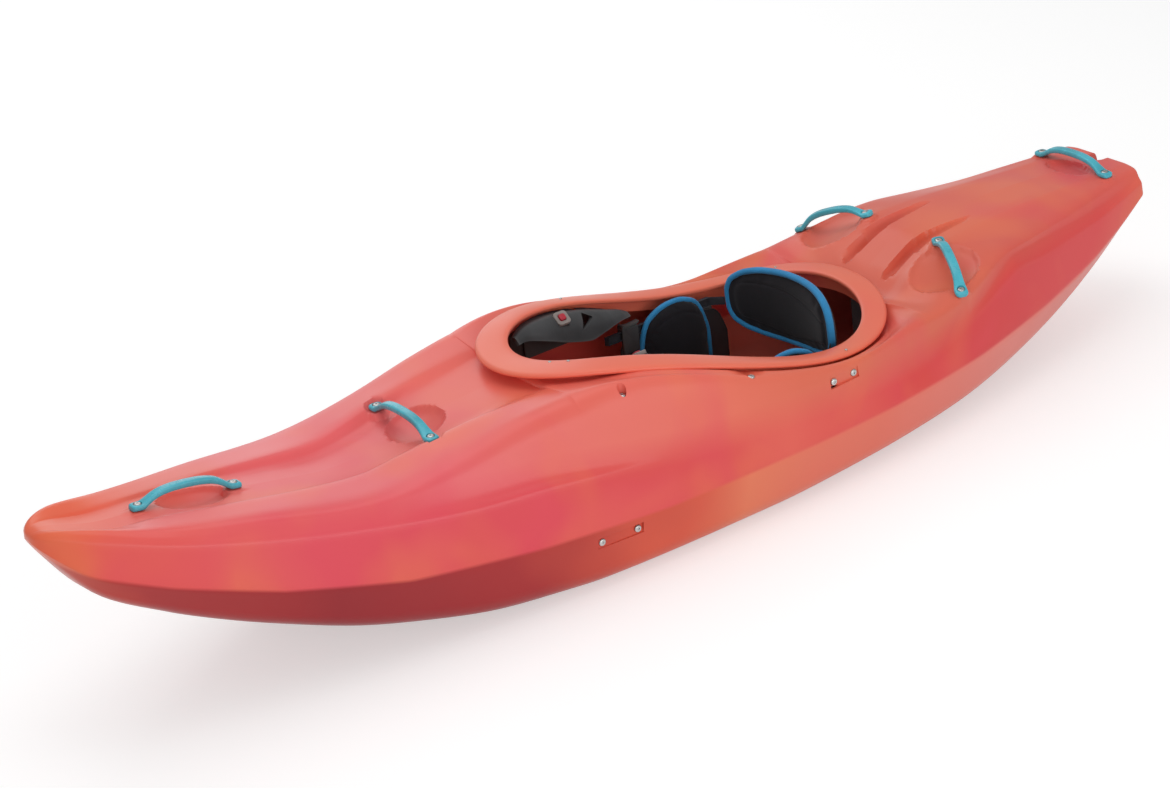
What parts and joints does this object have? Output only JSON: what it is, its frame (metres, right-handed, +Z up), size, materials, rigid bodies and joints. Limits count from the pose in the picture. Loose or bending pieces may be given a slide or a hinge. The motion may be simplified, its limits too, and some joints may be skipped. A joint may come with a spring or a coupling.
{
  "type": "whitewater kayak",
  "caption": "Decked plastic river kayak with rockered hull, raised cockpit rim, grab handles, padded seat, back band, thigh braces and footrest.",
  "frame": {"origin": "on the floor plane, on the centreline, midway along the overall length", "axes": "+Y toward the stern, bow toward -Y, +X to the port side, +Z up"},
  "size_m": [0.6622, 2.74, 0.4463],
  "materials": {
    "shell": "satin, mottled red, coral and orange",
    "grip": "turquoise, satin",
    "steel": "brushed",
    "plug": "dark red, satin",
    "socket": "black, matte",
    "rail": "satin",
    "plastic": "charcoal, fine grain",
    "catch": "grey, matte",
    "button": "dark red, matte",
    "foam": "closed-cell foam, black",
    "grey_foam": "closed-cell foam, grey",
    "cloth": "woven, black",
    "webbing": "webbing, dark grey"
  },
  "bodies": {
    "hull": {"hull_shell": "shell", "front_pillar": "grey_foam", "rear_pillar": "grey_foam", "bow_handle": "grip", "foredeck_handle": "grip", "stern_handle": "grip", "rear_handle_port": "grip", "rear_handle_starboard": "grip", "bow_handle_bolt_a": "steel", "bow_handle_bolt_b": "steel", "foredeck_handle_bolt_a": "steel", "foredeck_handle_bolt_b": "steel", "stern_handle_bolt_a": "steel", "stern_handle_bolt_b": "steel", "rear_handle_bolt_port_a": "steel", "rear_handle_bolt_port_b": "steel", "rear_handle_bolt_starboard_a": "steel", "rear_handle_bolt_starboard_b": "steel", "drain_socket": "socket", "footrest_rail_port": "rail", "rail_bolt_port_front": "steel", "rail_bolt_port_rear": "steel", "brace_mount_port": "plastic", "brace_bolt_port_front": "steel", "brace_bolt_port_rear": "steel", "seat_hanger_port": "plastic", "seat_bolt_port_front": "steel", "seat_bolt_port_rear": "steel", "footrest_rail_starboard": "rail", "rail_bolt_starboard_front": "steel", "rail_bolt_starboard_rear": "steel", "brace_mount_starboard": "plastic", "brace_bolt_starboard_front": "steel", "brace_bolt_starboard_rear": "steel", "seat_hanger_starboard": "plastic", "seat_bolt_starboard_front": "steel", "seat_bolt_starboard_rear": "steel"},
    "seat": {"seat_pan": "plastic", "seat_pad": "foam", "hip_pad_port": "cloth", "hip_pad_starboard": "cloth", "ratchet_port": "plastic", "ratchet_starboard": "plastic"},
    "backband": {"backband": "cloth", "backband_strap_port": "webbing", "backband_strap_starboard": "webbing"},
    "footrest": {"footrest_plate": "plastic", "footrest_foam": "foam"},
    "drain_plug": {"drain_plug": "plug"},
    "ratchet_lever_port": {"ratchet_lever_port": "plastic"},
    "thigh_brace_port": {"thigh_brace_port": "plastic", "brace_catch_port": "catch"},
    "brace_button_port": {"brace_button_port": "button"},
    "footrest_clamp_port": {"footrest_clamp_port": "plastic"},
    "ratchet_lever_starboard": {"ratchet_lever_starboard": "plastic"},
    "thigh_brace_starboard": {"thigh_brace_starboard": "plastic", "brace_catch_starboard": "catch"},
    "brace_button_starboard": {"brace_button_starboard": "button"},
    "footrest_clamp_starboard": {"footrest_clamp_starboard": "plastic"}
  },
  "joints": [
    {"name": "seat_slide", "type": "slide", "parent": "hull", "child": "seat", "axis": [0, 1, 0], "range_m": [-0.02, 0.02]},
    {"name": "backband_slide", "type": "slide", "parent": "seat", "child": "backband", "axis": [0, -1, 0], "range_m": [-0.01, 0.025]},
    {"name": "footrest_slide", "type": "slide", "parent": "hull", "child": "footrest", "axis": [0, -0.9806, 0.1961], "range_m": [-0.1, 0.08]},
    {"name": "drain_plug_turn", "type": "hinge", "parent": "hull", "child": "drain_plug", "pos_m": [0, 1.345, 0.304], "axis": [0, 0, 1], "continuous": true},
    {"name": "thigh_brace_slide_port", "type": "slide", "parent": "hull", "child": "thigh_brace_port", "axis": [0, 1, 0], "range_m": [-0.015, 0.015]},
    {"name": "brace_button_press_port", "type": "slide", "parent": "thigh_brace_port", "child": "brace_button_port", "axis": [0.5915, 0, -0.8063], "range_m": [0, 0.003], "stiffness_N_per_m": 400},
    {"name": "ratchet_lever_hinge_port", "type": "hinge", "parent": "seat", "child": "ratchet_lever_port", "pos_m": [0.2095, 0.11831, 0.2659], "axis": [1, 0, 0], "range_deg": [0, 55], "stiffness_Nm_per_rad": 0.05},
    {"name": "footrest_clamp_turn_port", "type": "hinge", "parent": "footrest", "child": "footrest_clamp_port", "pos_m": [0.20198, -0.70007, 0.16997], "axis": [1, 0, 0], "continuous": true},
    {"name": "thigh_brace_slide_starboard", "type": "slide", "parent": "hull", "child": "thigh_brace_starboard", "axis": [0, 1, 0], "range_m": [-0.015, 0.015]},
    {"name": "brace_button_press_starboard", "type": "slide", "parent": "thigh_brace_starboard", "child": "brace_button_starboard", "axis": [-0.5915, 0, -0.8063], "range_m": [0, 0.003], "stiffness_N_per_m": 400},
    {"name": "ratchet_lever_hinge_starboard", "type": "hinge", "parent": "seat", "child": "ratchet_lever_starboard", "pos_m": [-0.2095, 0.11831, 0.2659], "axis": [1, 0, 0], "range_deg": [0, 55], "stiffness_Nm_per_rad": 0.05},
    {"name": "footrest_clamp_turn_starboard", "type": "hinge", "parent": "footrest", "child": "footrest_clamp_starboard", "pos_m": [-0.20198, -0.70007, 0.16997], "axis": [-1, 0, 0], "continuous": true}
  ]
}
